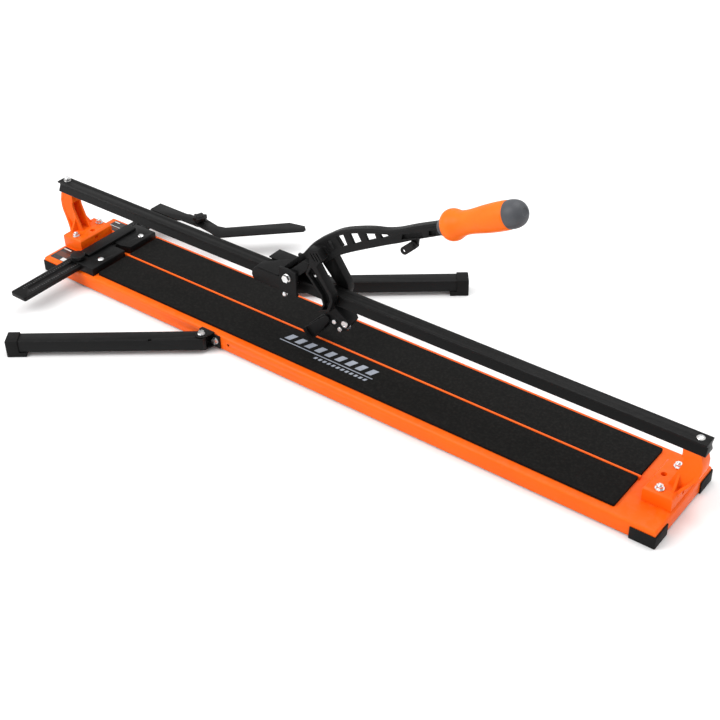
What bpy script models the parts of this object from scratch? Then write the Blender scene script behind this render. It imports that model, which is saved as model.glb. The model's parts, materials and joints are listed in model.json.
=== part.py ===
"""Manual tile cutter: a long steel base with two rubber-faced beds, a raised rail on two end posts, and a
carriage whose lever lowers a cutting wheel and a breaker foot onto the tile.

X runs along the base towards the end where the operator stands, Y across it and Z up from the bench. Sizes
are in millimetres; MM turns them into metres when an object is made.
"""

import math

import bmesh
import bpy
from mathutils import Matrix, Vector

MM = 0.001
SEAT = 0.3          # gap between two pieces that lie on one another
BOLT_PLAY = 0.3     # gap between a bolt and the wall of its hole
RUNNING = 0.5       # gap between two pieces that move past one another

# Base tray: folded sheet, open underneath
BASE_LENGTH = 1350.0
BASE_WIDTH = 191.0
BASE_TOP = 31.4
SKIRT_BOTTOM = 3.0
SHEET = 2.0
FOLD_RADIUS = 6.0

# Rubber guards on the four corners
GUARD_LENGTH = 44.7
GUARD_DEPTH = 41.7
GUARD_HEIGHT = 22.9
GUARD_WALL = 2.3

# Rubber beds and the breaker bar between them
BED_EDGE = 14.0        # from the tray's side to a bed's outer edge
BED_THICKNESS = 5.3
BED_CORNER = 3.0
BED_LEFT = 141.0       # from the tray's left end
BED_RIGHT = 78.0       # from the tray's right end
BAR_WIDTH = 4.0
BAR_HEIGHT = 6.8
BAR_LEFT = 115.0
BAR_RIGHT = 75.0

# Rail
RAIL_OVERHANG = 25.0   # from the tray's end to the rail's end
RAIL_WIDTH = 25.0
RAIL_BOTTOM = 133.6
RAIL_HEIGHT = 22.3
RAIL_LIP = 2.8         # height of the upper flange's edge
RAIL_SOLE = 1.8        # height of the lower flange's edge
WAIST_INSET = 5.0      # from the rail's side to its waist
WAIST_DEPTH = 6.5      # from the rail's top to its waist
WAIST_HEIGHT = 4.0
RAIL_BOLT_INSET = 16.0

# End posts
POST_INSET = 3.0       # from the tray's end to the foot block
FOOT_LENGTH = 50.0
FOOT_WIDTH = 84.0
FOOT_HEIGHT = 26.3
FOOT_RIM = 3.0
FOOT_BOLT_INSET = 27.0
FOOT_BOLT_SPREAD = 31.6
M8 = 4.0
M6 = 3.0

# Fence, extension ruler and angle guide at the left end
FENCE_RIGHT = 137.0    # from the tray's left end
FENCE_RISE = 16.6      # from the tray's top to the fence's top
FENCE_LIP = 3.0
FENCE_BAR_RISE = 6.0
FENCE_FRONT_EDGE = 4.5     # from the tray's sides to the fence's outer ends
FENCE_REAR_EDGE = 12.5
FENCE_SCREW_INSET = 14.0
FENCE_SCREW_SPREAD = 55.0
RULER_WIDTH = 40.0
RULER_THICKNESS = 8.7
RULER_LENGTH = 410.0
RULER_REACH = 80.5     # from the tray's side to the ruler's rear end
KNOB_RADIUS = 14.5
KNOB_EDGE = 15.5       # from the tray's side to the ruler knob
KNOB_PLAY = 2.0        # from the ruler knob's rim to the fence bar
CARRIER_LENGTH = 30.0
CARRIER_INSET = 1.0    # from the ruler's rear end to the carrier's
ANGLE_THICKNESS = 3.2

# Folding support arms
ARM_PIVOT_X = -227.5
ARM_PIVOT_OFFSET = 20.0     # from the tray's side to the pivot
ARM_ANGLE = math.radians(217.0)
ARM_LENGTH = 356.0
ARM_WIDTH = 28.0
ARM_BOTTOM = 9.0
ARM_TOP = 32.5
ARM_TAIL = 8.0
BRACKET = 3.0
BRACKET_BOLT_OFFSET = 18.5
BRACKET_BOLT_DEPTH = 12.4  # below the tray's top
LUG = 2.5
FOOT_CAP = 1.6
FOOT_CAP_LENGTH = 36.0

# Carriage
CHEEK_LEFT = -171.0
EAR_LEFT = -105.5
CHEEK_RIGHT = -67.0
CHEEK = 6.0
CHEEK_BELOW_RAIL = 2.6
CHEEK_ABOVE_RAIL = 3.6
EAR_ABOVE_RAIL = 24.1
COVER = 2.7
ROLLER_RADIUS = 7.5
ROLLER_WIDTH = 5.0
ROLLER_BORE = 2.8
ROLLER_PLAY = 1.2      # from the rail's waist to a roller's rim

# Lever, whose outlines are measured from its pivot
PIVOT_X = -86.0
PIVOT_ABOVE_RAIL = 9.1
DRAWN_DROP = 31.4      # from the pivot to the rail's underside, as the outlines below the rail are drawn
RAIL_LINE = -20.0      # outline points lower than this follow the rail's underside
YOKE_PLAY = 2.5        # from the rail's side to the yoke
YOKE_THICKNESS = 16.0
LEVER_FLANGE_HALF = 10.0
GRIP_ANGLE = math.radians(28.1)
GRIP_START = (306.2, 191.5)
TANG = 6.0
TANG_REACH = 110.0
M5 = 2.5

RAIL_LENGTH = BASE_LENGTH + 2 * RAIL_OVERHANG
RAIL_TOP = RAIL_BOTTOM + RAIL_HEIGHT
PIVOT_Z = RAIL_TOP + PIVOT_ABOVE_RAIL
YOKE_INNER = RAIL_WIDTH / 2 + YOKE_PLAY
YOKE_OUTER = YOKE_INNER + YOKE_THICKNESS
BED_BOTTOM = BASE_TOP + SEAT
FOOT_TOP = BASE_TOP + SEAT + FOOT_HEIGHT
HALF_LENGTH = BASE_LENGTH / 2
HALF_WIDTH = BASE_WIDTH / 2
ARM_PIVOT_Y = -(HALF_WIDTH + ARM_PIVOT_OFFSET)
WAIST_HALF = RAIL_WIDTH / 2 - WAIST_INSET


# Shapes -------------------------------------------------------------------------------------------------

def closed(bm):
    """Turn every face outward."""
    bmesh.ops.recalc_face_normals(bm, faces=bm.faces)
    return bm


def lofted(rings):
    """Skin a row of closed rings, each a list of points, and cap both ends."""
    bm = bmesh.new()
    rows = [[bm.verts.new(point) for point in ring] for ring in rings]
    count = len(rows[0])
    for row, after in zip(rows, rows[1:]):
        for i in range(count):
            j = (i + 1) % count
            bm.faces.new((row[i], row[j], after[j], after[i]))
    bm.faces.new(rows[0])
    bm.faces.new(rows[-1])
    return closed(bm)


def prism(outline, axis, low, high):
    """Extrude an outline along an axis; its two numbers are the other two axes in XYZ order."""
    def point(a, b, along):
        return {"X": (along, a, b), "Y": (a, along, b), "Z": (a, b, along)}[axis]
    return lofted([[point(a, b, along) for a, b in outline] for along in (low, high)])


def box(low, high):
    """A box between two corners."""
    outline = [(low[0], low[1]), (high[0], low[1]), (high[0], high[1]), (low[0], high[1])]
    return prism(outline, "Z", low[2], high[2])


def turned(profile, at, axis, segments=28):
    """Revolve a closed profile of (radius, height) points about an axis through a point."""
    bm = bmesh.new()
    turn = Vector((0, 0, 1)).rotation_difference(Vector(axis)).to_matrix()
    rows = []
    for radius, height in profile:
        if radius == 0:
            rows.append([bm.verts.new(Vector(at) + turn @ Vector((0, 0, height)))])
            continue
        row = []
        for i in range(segments):
            angle = math.tau * i / segments
            spoke = Vector((radius * math.cos(angle), radius * math.sin(angle), height))
            row.append(bm.verts.new(Vector(at) + turn @ spoke))
        rows.append(row)
    for row, after in zip(rows, rows[1:] + rows[:1]):
        for i in range(segments):
            j = (i + 1) % segments
            corners = [row[i % len(row)], row[j % len(row)], after[j % len(after)], after[i % len(after)]]
            face = list(dict.fromkeys(corners))
            if len(face) > 2:
                bm.faces.new(face)
    return closed(bm)


def rod(at, axis, radius, low, high, segments=28):
    """A plain round bar along an axis."""
    return turned([(0, low), (radius, low), (radius, high), (0, high)], at, axis, segments)


def hexagon(at, axis, flats, low, high):
    """A hexagonal bar along an axis."""
    return rod(at, axis, flats / math.sqrt(3), low, high, segments=6)


def arc(centre, radius, start, end, steps):
    """Points along an arc, its angles in degrees."""
    points = []
    for i in range(steps + 1):
        angle = math.radians(start + (end - start) * i / steps)
        points.append((centre[0] + radius * math.cos(angle), centre[1] + radius * math.sin(angle)))
    return points


def rounded_plate(low, high, radius, steps=4):
    """Outline of a rectangle with round corners."""
    corners = ((high[0] - radius, high[1] - radius, 0), (low[0] + radius, high[1] - radius, 90),
               (low[0] + radius, low[1] + radius, 180), (high[0] - radius, low[1] + radius, 270))
    outline = []
    for x, y, start in corners:
        outline += arc((x, y), radius, start, start + 90, steps)
    return outline


def bevelled(bm, width, choose, segments=2):
    """Bevel the edges that a test picks by their two ends."""
    edges = [edge for edge in bm.edges if choose(edge.verts[0].co, edge.verts[1].co)]
    bmesh.ops.bevel(bm, geom=edges, offset=width, segments=segments, profile=0.5, affect="EDGES")
    return closed(bm)


def boolean(bm, tools, operation):
    """Cut tool shapes out of a shape, or join them to it, with the exact solver."""
    objects = []
    for shape in [bm] + tools:
        mesh = bpy.data.meshes.new("shape")
        shape.to_mesh(mesh)
        shape.free()
        item = bpy.data.objects.new("shape", mesh)
        item.display_type = "WIRE"
        item.hide_render = True
        bpy.context.collection.objects.link(item)
        objects.append(item)
    body = objects[0]
    for tool in objects[1:]:
        modifier = body.modifiers.new(operation.lower(), "BOOLEAN")
        modifier.operation = operation
        modifier.solver = "EXACT"
        modifier.object = tool
    bpy.context.view_layer.update()
    graph = bpy.context.evaluated_depsgraph_get()
    result = bmesh.new()
    result.from_mesh(body.evaluated_get(graph).data)
    for item in objects:
        mesh = item.data
        bpy.data.objects.remove(item)
        bpy.data.meshes.remove(mesh)
    return result


def cut(bm, *tools):
    """Take tool shapes away from a shape."""
    return boolean(bm, list(tools), "DIFFERENCE")


def joined(bm, *tools):
    """Make one solid of overlapping shapes."""
    return boolean(bm, list(tools), "UNION")


def moved(bm, matrix):
    """Move a shape."""
    bmesh.ops.transform(bm, matrix=matrix, verts=bm.verts)
    return closed(bm)


def mirrored(bm, axis):
    """Mirror a shape across the plane through the origin that is square to an axis."""
    scale = Matrix.Scale(-1, 4, Vector(axis))
    return moved(bm, scale)


def half_turned(bm):
    """Turn a shape half round about the upright axis between the two support arms' pivots."""
    centre = Matrix.Translation((ARM_PIVOT_X, 0, 0))
    return moved(bm, centre @ Matrix.Rotation(math.pi, 4, "Z") @ centre.inverted())


# Objects and materials ----------------------------------------------------------------------------------

world_place = {}


def material(name, colour, metallic, roughness):
    """A Principled material."""
    made = bpy.data.materials.new(name)
    made.use_nodes = True
    shader = made.node_tree.nodes["Principled BSDF"]
    shader.inputs["Base Color"].default_value = (*colour, 1)
    shader.inputs["Metallic"].default_value = metallic
    shader.inputs["Roughness"].default_value = roughness
    return made


def pivot(name, at, parent=None):
    """An empty on a joint's axis, which the pieces of a moving body hang on."""
    empty = bpy.data.objects.new(name, None)
    bpy.context.collection.objects.link(empty)
    hang(empty, Vector(at), parent)
    return empty


def hang(item, at, parent):
    """Place an object at a point of the world, under a parent or free."""
    start = Vector((0, 0, 0))
    if parent is not None:
        item.parent = parent
        start = world_place[parent.name]
    item.location = (at - start) * MM
    world_place[item.name] = at


def solid(name, bm, finish, at=(0, 0, 0), parent=None, smooth=True):
    """Make a shape into a named object whose origin is at a point of the world."""
    centre = Vector(at)
    bmesh.ops.remove_doubles(bm, verts=bm.verts, dist=0.002)
    bmesh.ops.dissolve_degenerate(bm, dist=0.002, edges=bm.edges)
    bmesh.ops.transform(bm, matrix=Matrix.Scale(MM, 4) @ Matrix.Translation(-centre), verts=bm.verts)
    mesh = bpy.data.meshes.new(name)
    bm.to_mesh(mesh)
    bm.free()
    mesh.materials.clear()
    mesh.materials.append(finish)
    if smooth:
        mesh.shade_smooth()
        mesh.set_sharp_from_angle(angle=math.radians(32))
    item = bpy.data.objects.new(name, mesh)
    bpy.context.collection.objects.link(item)
    hang(item, centre, parent)
    return item


def bolt(seat, axis, shank, length, flats, head, washer=0.0, stud=0.0):
    """A hexagon bolt or nut on its seat, with its shank running back into the work."""
    washer_height = 1.5 if washer else 0.0
    top = washer_height + head + stud if stud else washer_height + head - 1
    profile = [(0, -length), (shank, -length)]
    if washer:
        profile += [(shank, 0), (washer, 0), (washer, washer_height), (shank, washer_height)]
    profile += [(shank, top - 0.8), (shank - 0.8, top), (0, top)]
    hexagon_low = washer_height - 0.4 if washer else 0.0
    return joined(turned(profile, seat, axis, 20), hexagon(seat, axis, flats, hexagon_low, washer_height + head))


# Base ---------------------------------------------------------------------------------------------------

def tray():
    """Folded tray with its bolt holes."""
    def shell(inset, low, high):
        length = HALF_LENGTH - inset
        width = HALF_WIDTH - inset
        block = box((-length, -width, low), (length, width, high))
        return bevelled(block, FOLD_RADIUS - inset, lambda a, b: min(a.z, b.z) > high - 0.1, segments=3)
    holes = [shell(SHEET, SKIRT_BOTTOM - 20, BASE_TOP - SHEET)]
    for side in (-1, 1):
        for end in (-1, 1):
            at = (end * (HALF_LENGTH - POST_INSET - FOOT_BOLT_INSET), side * FOOT_BOLT_SPREAD, BASE_TOP)
            holes.append(rod(at, (0, 0, 1), M6 + BOLT_PLAY, -8, 4, 20))
    x, y, z = bracket_bolt_place()
    holes.append(rod((x, y, z), (0, 1, 0), M6 + BOLT_PLAY, -2, 8, 20))
    holes.append(half_turned(rod((x, y, z), (0, 1, 0), M6 + BOLT_PLAY, -2, 8, 20)))
    holes.append(rod((x + 27, y, z - 2), (0, 1, 0), M6, -2, 8, 20))
    return cut(shell(0, SKIRT_BOTTOM, BASE_TOP), *holes)


def guard(end, side):
    """Corner guard that wraps one corner of the tray."""
    reach_x = HALF_LENGTH + SEAT + GUARD_WALL
    reach_y = HALF_WIDTH + SEAT + GUARD_WALL
    block = box((reach_x - GUARD_LENGTH, reach_y - GUARD_DEPTH, 0), (reach_x, reach_y, GUARD_HEIGHT))
    block = bevelled(block, 2.0, lambda a, b: min(a.x, b.x, a.y + reach_x - reach_y, b.y + reach_x - reach_y)
                     > reach_x - 0.1, segments=3)
    room = box((0, 0, SKIRT_BOTTOM - SEAT), (HALF_LENGTH + SEAT, HALF_WIDTH + SEAT, GUARD_HEIGHT + 10))
    shape = cut(block, room)
    if end < 0:
        shape = mirrored(shape, (1, 0, 0))
    if side < 0:
        shape = mirrored(shape, (0, 1, 0))
    return shape


def bed(side):
    """One rubber bed."""
    inner = BAR_WIDTH / 2 + RUNNING
    low = (-HALF_LENGTH + BED_LEFT, inner)
    high = (HALF_LENGTH - BED_RIGHT, HALF_WIDTH - BED_EDGE)
    outline = rounded_plate(low, high, BED_CORNER)
    shape = prism(outline, "Z", BED_BOTTOM, BED_BOTTOM + BED_THICKNESS)
    return shape if side > 0 else mirrored(shape, (0, 1, 0))


def breaker_bar():
    """Raised bar on the scoring line, with a rounded crest."""
    half = BAR_WIDTH / 2
    crest = arc((0, BED_BOTTOM + BAR_HEIGHT - half), half, 0, 180, 6)
    return prism([(-half, BED_BOTTOM), (half, BED_BOTTOM)] + crest, "X",
                 -HALF_LENGTH + BAR_LEFT, HALF_LENGTH - BAR_RIGHT)


def rail_section():
    """The rail's waisted section, as (y, z) points."""
    half = RAIL_WIDTH / 2
    right = [(half, RAIL_TOP), (half, RAIL_TOP - RAIL_LIP), (WAIST_HALF, RAIL_TOP - WAIST_DEPTH),
             (WAIST_HALF, RAIL_TOP - WAIST_DEPTH - WAIST_HEIGHT), (half, RAIL_BOTTOM + RAIL_SOLE),
             (half, RAIL_BOTTOM)]
    return right + [(-y, z) for y, z in reversed(right)]


def rail():
    """Rail with a bolt hole at each end."""
    shape = prism(rail_section(), "X", -RAIL_LENGTH / 2, RAIL_LENGTH / 2)
    holes = []
    for end in (-1, 1):
        at = (end * (RAIL_LENGTH / 2 - RAIL_BOLT_INSET), 0, RAIL_BOTTOM)
        holes.append(rod(at, (0, 0, 1), M8 + BOLT_PLAY, -5, RAIL_HEIGHT + 5, 24))
    return cut(shape, *holes)


def post(end):
    """Cast end post: a foot block, a curved upright with an open inner side, and gussets."""
    foot_outer = HALF_LENGTH - POST_INSET
    foot_inner = foot_outer - FOOT_LENGTH
    top = RAIL_BOTTOM - SEAT
    rise = top - FOOT_TOP
    block = box((foot_inner, -FOOT_WIDTH / 2, BASE_TOP + SEAT), (foot_outer, FOOT_WIDTH / 2, FOOT_TOP))
    block = bevelled(block, FOOT_RIM, lambda a, b: min(a.z, b.z) > FOOT_TOP - 0.1, segments=1)

    # Outer wall: how far it stands out past the foot, and half its width, at shares of the rise
    wall = ((-0.30, -0.2, 24.0), (-0.06, 0.6, 23.0), (0.04, 5.0, 20.0), (0.15, 12.0, 16.5), (0.28, 19.0, 14.0),
            (0.42, 24.4, 13.0), (0.56, 27.0, 12.7), (0.75, 27.0, 12.7), (0.99, 22.0, 12.7))
    rings = []
    for share, out, half in wall:
        z = FOOT_TOP + share * rise
        x = foot_outer + out
        rings.append([(x, -half, z), (x, half, z), (x - 6, half, z), (x - 6, -half, z)])
    outer_wall = lofted(rings)

    # Side flange in the XZ plane, from the foot to the rail
    outer_edge = [(1.0, -0.05), (13.0, 0.17), (21.2, 0.36), (26.0, 0.56), (25.6, 0.75), (21.0, 0.995)]
    inner_edge = [(-8.0, 0.995), (-4.5, 0.77), (-5.2, 0.62), (-11.0, 0.40), (-17.0, 0.19), (-24.0, -0.05)]
    flange = [(foot_outer + x, FOOT_TOP + share * rise) for x, share in outer_edge + inner_edge]
    flanges = [prism(flange, "Y", -12.3, -8.0), prism(flange, "Y", 8.0, 12.3)]
    cap = box((foot_outer - 7.6, -12.1, top - 16), (foot_outer + 21, 12.1, top))
    gussets = []
    for side in (-1, 1):
        rib = [(side * 11, FOOT_TOP - 1), (side * 27, FOOT_TOP - 1), (side * 26, FOOT_TOP + 2),
               (side * 11, FOOT_TOP + 27)]
        gussets.append(prism(rib, "X", foot_outer - 9.5, foot_outer - 5.5))
    shape = joined(block, outer_wall, *flanges, cap, *gussets)

    holes = []
    for side in (-1, 1):
        at = (foot_outer - FOOT_BOLT_INSET, side * FOOT_BOLT_SPREAD, BASE_TOP)
        holes.append(rod(at, (0, 0, 1), M6 + BOLT_PLAY, -5, FOOT_HEIGHT + 8, 20))
    holes.append(rod((RAIL_LENGTH / 2 - RAIL_BOLT_INSET, 0, top), (0, 0, 1), M8 + BOLT_PLAY, -13.5, 4, 24))
    holes.append(rod((foot_inner, 0, FOOT_TOP - 11), (1, 0, 0), 4.0, -6, 12, 20))
    holes.append(rod((foot_outer, -3, FOOT_TOP - 13), (1, 0, 0), 4.0, -10, 12, 20))
    holes.append(rod((foot_inner + 13, 3, FOOT_TOP), (0, 0, 1), 5.0, -14, 6, 20))
    shape = cut(shape, *holes)
    return shape if end > 0 else mirrored(shape, (1, 0, 0))


def rail_bolt(end):
    """Domed screw at the right end; a nut on a stud at the left end."""
    at = (end * (RAIL_LENGTH / 2 - RAIL_BOLT_INSET), 0, RAIL_TOP + SEAT)
    length = RAIL_HEIGHT + 12
    if end < 0:
        return bolt(at, (0, 0, 1), M8, length, 11.5, 4.5, washer=7.0, stud=2.5)
    dome = arc((0, -6.0), 9.2, 44, 84, 5)
    profile = [(0, -length), (M8, -length), (M8, 0), (6.8, 0)] + dome
    head = turned(profile + [(0, 3.2)], at, (0, 0, 1), 28)
    return cut(head, hexagon(at, (0, 0, 1), 4.0, 1.4, 9))


# Fence, ruler and angle guide ---------------------------------------------------------------------------

FENCE_X = -HALF_LENGTH + FENCE_RIGHT
FENCE_TOP = BASE_TOP + FENCE_RISE
KNOB_Y = KNOB_EDGE - HALF_WIDTH
RULER_BACK = HALF_WIDTH + RULER_REACH
RULER_FRONT = RULER_BACK - RULER_LENGTH
RULER_X = -HALF_LENGTH + 104.0
RULER_BOTTOM = FENCE_TOP - FENCE_LIP - SEAT - RULER_THICKNESS
WEB_X = RULER_X + SEAT


def fence_section(base_left, lip_left):
    """Channel section of the fence, as (x, z) points: a web with a lip over the ruler."""
    bottom = BASE_TOP + SEAT
    return [(base_left, bottom), (FENCE_X, bottom), (FENCE_X, FENCE_TOP - 1.5), (FENCE_X - 1.5, FENCE_TOP),
            (lip_left, FENCE_TOP), (lip_left, FENCE_TOP - FENCE_LIP), (WEB_X, FENCE_TOP - FENCE_LIP),
            (WEB_X, RULER_BOTTOM - SEAT), (base_left, RULER_BOTTOM - SEAT)]


def fence_hole(y):
    """Clearance hole for a fence screw."""
    return rod((FENCE_X - FENCE_SCREW_INSET, y, BASE_TOP), (0, 0, 1), M6 + BOLT_PLAY, -1, 30, 20)


def knob_place():
    """Foot of the ruler knob's stem, on the ruler."""
    return (RULER_X - 18, KNOB_Y, RULER_BOTTOM + RULER_THICKNESS + SEAT)


def fence_front():
    """Front half of the fence, over the front bed's end."""
    plate = prism(fence_section(FENCE_X - 68, FENCE_X - 68), "Y", FENCE_FRONT_EDGE - HALF_WIDTH, -4)
    stem = rod(knob_place(), (0, 0, 1), M6 + BOLT_PLAY, -2, 12, 20)
    return cut(plate, fence_hole(-FENCE_SCREW_SPREAD), stem)


def fence_rear():
    """Rear half of the fence, with a cut-back corner."""
    plate = prism(fence_section(FENCE_X - 55, FENCE_X - 55), "Y", 6, HALF_WIDTH - FENCE_REAR_EDGE)
    corner = prism([(FENCE_X + 1, 5), (FENCE_X + 1, 13), (FENCE_X - 24, 5)], "Z", BASE_TOP - 1, FENCE_TOP + 1)
    return cut(plate, fence_hole(FENCE_SCREW_SPREAD), corner)


def fence_bar():
    """Raised bar along the top of the fence."""
    top = FENCE_TOP + FENCE_BAR_RISE
    front = KNOB_Y + KNOB_RADIUS + KNOB_PLAY
    shape = box((FENCE_X - 63, front, FENCE_TOP + SEAT), (FENCE_X - 38, 66, top))
    return bevelled(shape, 1.2, lambda a, b: min(a.z, b.z) > top - 0.1)


def fence_screw(y):
    """Round-headed screw that holds one half of the fence."""
    at = (FENCE_X - FENCE_SCREW_INSET, y, FENCE_TOP + SEAT)
    crown = arc((0, -5.0), 8.0, 39, 83, 4)
    profile = [(0, -15.5), (M6, -15.5), (M6, 0), (6.2, 0)] + crown + [(0, 3.0)]
    return turned(profile, at, (0, 0, 1), 24)


def ruler():
    """Extension ruler: a flat bar with a groove along its top."""
    top = RULER_BOTTOM + RULER_THICKNESS
    outline = rounded_plate((RULER_X - RULER_WIDTH, RULER_FRONT), (RULER_X, RULER_BACK), 4.0)
    groove = rounded_plate((RULER_X - 25, RULER_FRONT + 26), (RULER_X - 14, RULER_BACK - 20), 5.4)
    return cut(prism(outline, "Z", RULER_BOTTOM, top), prism(groove, "Z", top - 2.5, top + 3))


def ruler_knob():
    """Flat round knob with a fluted rim on a threaded stem."""
    seat = FENCE_TOP - knob_place()[2] + RUNNING
    wheel = [(0, 0), (M6, 0), (M6, seat), (7.0, seat), (7.0, seat + 2), (KNOB_RADIUS - 1, seat + 2),
             (KNOB_RADIUS, seat + 3), (KNOB_RADIUS, seat + 9), (KNOB_RADIUS - 1.5, seat + 10.5), (0, seat + 10.5)]
    shape = turned(wheel, knob_place(), (0, 0, 1), 36)
    x, y, z = knob_place()
    flutes = []
    for i in range(12):
        angle = math.tau * i / 12
        reach = KNOB_RADIUS + 1.4
        at = (x + reach * math.cos(angle), y + reach * math.sin(angle), z + seat)
        flutes.append(rod(at, (0, 0, 1), 2.1, 1, 12, 12))
    return cut(shape, *flutes)


CARRIER_BACK = RULER_BACK - CARRIER_INSET
CARRIER_FRONT = CARRIER_BACK - CARRIER_LENGTH
ANGLE_PIVOT = (FENCE_X + 48.0, CARRIER_BACK - 10.0)
CARRIER_TOP = FENCE_TOP


def angle_carrier():
    """Slide on the ruler's rear end that carries the angle guide."""
    left = RULER_X - RULER_WIDTH - RUNNING - 2.5
    under = CARRIER_TOP - FENCE_LIP + 0.2
    plate = [(left, CARRIER_FRONT), (FENCE_X, CARRIER_FRONT), (FENCE_X + 8, CARRIER_FRONT + 5)]
    plate += arc(ANGLE_PIVOT, 15, -75, 75, 8)
    plate += [(FENCE_X + 8, CARRIER_BACK + 3), (FENCE_X, CARRIER_BACK), (left, CARRIER_BACK)]
    top = prism(plate, "Z", under, CARRIER_TOP)
    lips = [box((left, CARRIER_FRONT + 1, RULER_BOTTOM), (left + 2.5, CARRIER_BACK - 1, CARRIER_TOP - 1)),
            box((RULER_X + RUNNING, CARRIER_FRONT + 1, RULER_BOTTOM),
                (RULER_X + RUNNING + 3, CARRIER_BACK - 1, CARRIER_TOP - 1))]
    hole = rod((*ANGLE_PIVOT, under), (0, 0, 1), M6 + BOLT_PLAY, -3, 6, 20)
    return cut(joined(top, *lips), hole)


def angle_arm():
    """Flat arm of the angle guide, which lies at 44 degrees across the work."""
    px, py = ANGLE_PIVOT
    outline = arc(ANGLE_PIVOT, 15, 60, 262, 10)
    outline += [(px + 46, py - 21), (px + 72.5, py - 27.6), (px + 198.4, py + 91.8), (px + 198, py + 99.5),
                (px + 188, py + 108.6), (px + 154, py + 101), (px + 60.5, py + 10.4), (px + 44, py + 6)]
    low = CARRIER_TOP + SEAT
    plate = prism(outline, "Z", low, low + ANGLE_THICKNESS)
    hole = rod((px, py, low), (0, 0, 1), M6 + BOLT_PLAY, -2, 8, 20)
    return cut(plate, hole)


def angle_knob():
    """Star knob that clamps the angle guide."""
    px, py = ANGLE_PIVOT
    low = CARRIER_TOP + SEAT + ANGLE_THICKNESS + SEAT
    stem = CARRIER_TOP - FENCE_LIP - 3 - low
    star = []
    for i in range(60):
        angle = math.tau * i / 60
        radius = 13.2 + 2.0 * math.cos(6 * angle)
        star.append((px + radius * math.cos(angle), py + radius * math.sin(angle)))
    body = prism(star, "Z", low + 3, low + 11)
    hub = turned([(0, stem), (M6, stem), (M6, 0), (8, 0), (8, 4), (9, 12), (7, 14), (0, 14)], (px, py, low),
                 (0, 0, 1), 24)
    return joined(body, hub)


# Support arms -------------------------------------------------------------------------------------------

def bracket_bolt_place():
    """Centre of the bracket bolt on the tray's front side."""
    return (ARM_PIVOT_X + BRACKET_BOLT_OFFSET, -HALF_WIDTH, BASE_TOP - BRACKET_BOLT_DEPTH)


def arm_bracket():
    """Bracket bolted to the tray's side, with a lug above and below the arm."""
    inner = -HALF_WIDTH - SEAT
    plate = box((ARM_PIVOT_X - 21.5, inner - BRACKET, 4), (ARM_PIVOT_X + 27.5, inner, 30))
    lug_outline = [(ARM_PIVOT_X - 16, inner - 1)] + arc((ARM_PIVOT_X, ARM_PIVOT_Y), 11, 180, 360, 10)
    lug_outline += [(ARM_PIVOT_X + 16, inner - 1)]
    lower = ARM_BOTTOM - RUNNING - LUG
    upper = ARM_TOP + RUNNING
    neck = box((ARM_PIVOT_X - 14, inner - BRACKET, 28), (ARM_PIVOT_X + 14, inner - 0.4, upper + LUG - 0.4))
    lugs = [prism(lug_outline, "Z", low, low + LUG) for low in (lower, upper)]
    shape = joined(plate, neck, *lugs)
    x, y, z = bracket_bolt_place()
    holes = [rod((ARM_PIVOT_X, ARM_PIVOT_Y, 0), (0, 0, 1), M6 + BOLT_PLAY, -2, 44, 20),
             rod((x, y, z), (0, 1, 0), M6 + BOLT_PLAY, -9, 6, 20)]
    return cut(shape, *holes)


def bracket_bolt():
    """Hexagon bolt through the bracket into the tray's side."""
    x, y, z = bracket_bolt_place()
    return bolt((x, y - SEAT - BRACKET - SEAT, z), (0, -1, 0), M6, 11, 10, 4.5, washer=7.0)


def arm_pivot_bolt():
    """Upright bolt that the support arm turns on, with its nut below."""
    upper = ARM_TOP + RUNNING + LUG + SEAT
    lower = ARM_BOTTOM - RUNNING - LUG - SEAT
    at = (ARM_PIVOT_X, ARM_PIVOT_Y, upper)
    head = bolt(at, (0, 0, 1), M6, upper - lower + 4.2, 10, 4.0, washer=7.0)
    return joined(head, hexagon((*at[:2], lower), (0, 0, 1), 10, -4, 0))


def arm_frame():
    """Turns a shape drawn along +X from the pivot into the arm's direction."""
    return Matrix.Translation((ARM_PIVOT_X, ARM_PIVOT_Y, 0)) @ Matrix.Rotation(ARM_ANGLE, 4, "Z")


def support_arm():
    """Folded channel, open underneath, with chamfered corners at its pivot end."""
    half = ARM_WIDTH / 2

    def channel(inset, low, high):
        tail = -ARM_TAIL + inset
        outline = [(tail, -half + 5), (tail + 5, -half + inset), (ARM_LENGTH - inset, -half + inset),
                   (ARM_LENGTH - inset, half - inset), (tail + 5, half - inset), (tail, half - 5)]
        return prism(outline, "Z", low, high)

    hollow = channel(SHEET, ARM_BOTTOM - 5, ARM_TOP - SHEET)
    shape = cut(channel(0, ARM_BOTTOM, ARM_TOP), hollow,
                rod((0, 0, ARM_TOP), (0, 0, 1), M6 + BOLT_PLAY, -8, 4, 20),
                box((90, half - 5, ARM_TOP - 3), (97, half + 2, ARM_TOP + 2)))
    return moved(shape, arm_frame())


def arm_foot():
    """Rubber foot pushed over the arm's end, reaching down to the bench."""
    half = ARM_WIDTH / 2 + SEAT
    end = ARM_LENGTH + SEAT + FOOT_CAP
    block = box((end - FOOT_CAP_LENGTH, -half - FOOT_CAP, 0), (end, half + FOOT_CAP, ARM_TOP + SEAT + FOOT_CAP))
    block = bevelled(block, 2.0, lambda a, b: min(a.x, b.x) > end - 0.1, segments=3)
    room = box((0, -half, ARM_BOTTOM - SEAT), (ARM_LENGTH + SEAT, half, ARM_TOP + SEAT))
    step = box((end - FOOT_CAP_LENGTH - 5, -half - 9, ARM_BOTTOM - SEAT),
               (end - FOOT_CAP_LENGTH + 13, half + 9, ARM_TOP + 20))
    return moved(cut(block, room, step), arm_frame())


# Carriage -----------------------------------------------------------------------------------------------

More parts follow.
